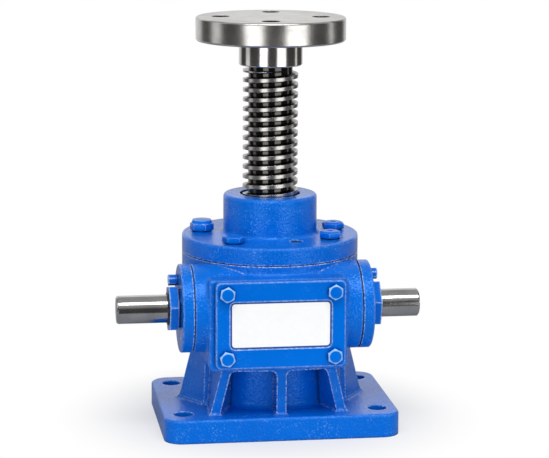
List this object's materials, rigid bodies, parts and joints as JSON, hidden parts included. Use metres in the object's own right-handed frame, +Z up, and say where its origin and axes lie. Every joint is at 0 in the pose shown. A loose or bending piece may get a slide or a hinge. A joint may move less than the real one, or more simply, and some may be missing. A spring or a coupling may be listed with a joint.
{
  "type": "worm screw jack",
  "caption": "Worm gear screw jack: a worm shaft turns a nut in a cast blue housing and so lifts a trapezoidal screw with a round top plate.",
  "frame": {"origin": "on the lifting screw's axis, on the underside of the base plate, level with the closing disc", "axes": "+Z up along the lifting screw; X along the worm shaft; the front cover with the label looks along -Y"},
  "size_m": [0.217, 0.1477, 0.2945],
  "materials": {
    "blue_enamel": "glossy enamel over a slightly rough casting",
    "turned_steel": "turned and ground bright steel",
    "thread_steel": "oiled rolled trapezoidal thread",
    "worm_steel": "ground shaft",
    "bearing_steel": "polished bearing steel",
    "bronze": "machined bronze",
    "brass": "machined brass",
    "black_rubber": "smooth moulded seal rubber",
    "gasket": "dark gasket sheet",
    "zinc_steel": "plated fastener steel",
    "white_label": "blank white label sheet"
  },
  "bodies": {
    "housing": {"housing": "blue_enamel", "top_cover": "blue_enamel", "cover_bolts": "blue_enamel", "filler_plug": "blue_enamel", "bearing_cap_left": "blue_enamel", "bearing_cap_right": "blue_enamel", "gland_nut_left": "blue_enamel", "gland_nut_right": "blue_enamel", "nut_lock_bolt_left": "blue_enamel", "nut_lock_bolt_right": "blue_enamel", "front_cover_plate": "blue_enamel", "front_cover_bolts": "blue_enamel", "grease_plug": "brass", "cover_gasket": "gasket", "cap_gasket_left": "gasket", "cap_gasket_right": "gasket", "front_gasket": "gasket", "screw_wiper": "black_rubber", "shaft_seal_left": "black_rubber", "shaft_seal_right": "black_rubber", "label_plate": "white_label", "bottom_disc": "zinc_steel", "bottom_disc_screws": "zinc_steel", "low_bearing_housing_washer": "bearing_steel", "up_bearing_housing_washer": "bearing_steel", "left_bearing_outer_race": "bearing_steel", "right_bearing_outer_race": "bearing_steel"},
    "worm": {"worm_shaft": "worm_steel", "left_bearing_inner_race": "bearing_steel", "right_bearing_inner_race": "bearing_steel", "left_bearing_rollers": "bearing_steel", "right_bearing_rollers": "bearing_steel"},
    "wheel": {"worm_wheel": "bronze", "low_bearing_shaft_washer": "bearing_steel", "up_bearing_shaft_washer": "bearing_steel", "low_bearing_rollers": "bearing_steel", "up_bearing_rollers": "bearing_steel"},
    "screw": {"lead_screw": "thread_steel", "top_plate": "turned_steel", "plate_lock_screw": "zinc_steel", "stop_washer": "zinc_steel", "stop_bolt": "zinc_steel"}
  },
  "joints": [
    {"name": "worm_turn", "type": "hinge", "parent": "housing", "child": "worm", "pos_m": [0, -0.0425, 0.092], "axis": [1, 0, 0], "range_deg": [-95040.1, 0]},
    {"name": "wheel_turn", "type": "hinge", "parent": "housing", "child": "wheel", "pos_m": [0, 0, 0.092], "axis": [0, 0, 1], "range_deg": [0, 3960.01]},
    {"name": "screw_travel", "type": "slide", "parent": "housing", "child": "screw", "axis": [0, 0, 1], "range_m": [-0.077, 0]}
  ],
  "couplings": [
    {"joint": "worm_turn", "follows": "screw_travel", "rad_per_m": 21542},
    {"joint": "wheel_turn", "follows": "screw_travel", "rad_per_m": -897.6}
  ]
}
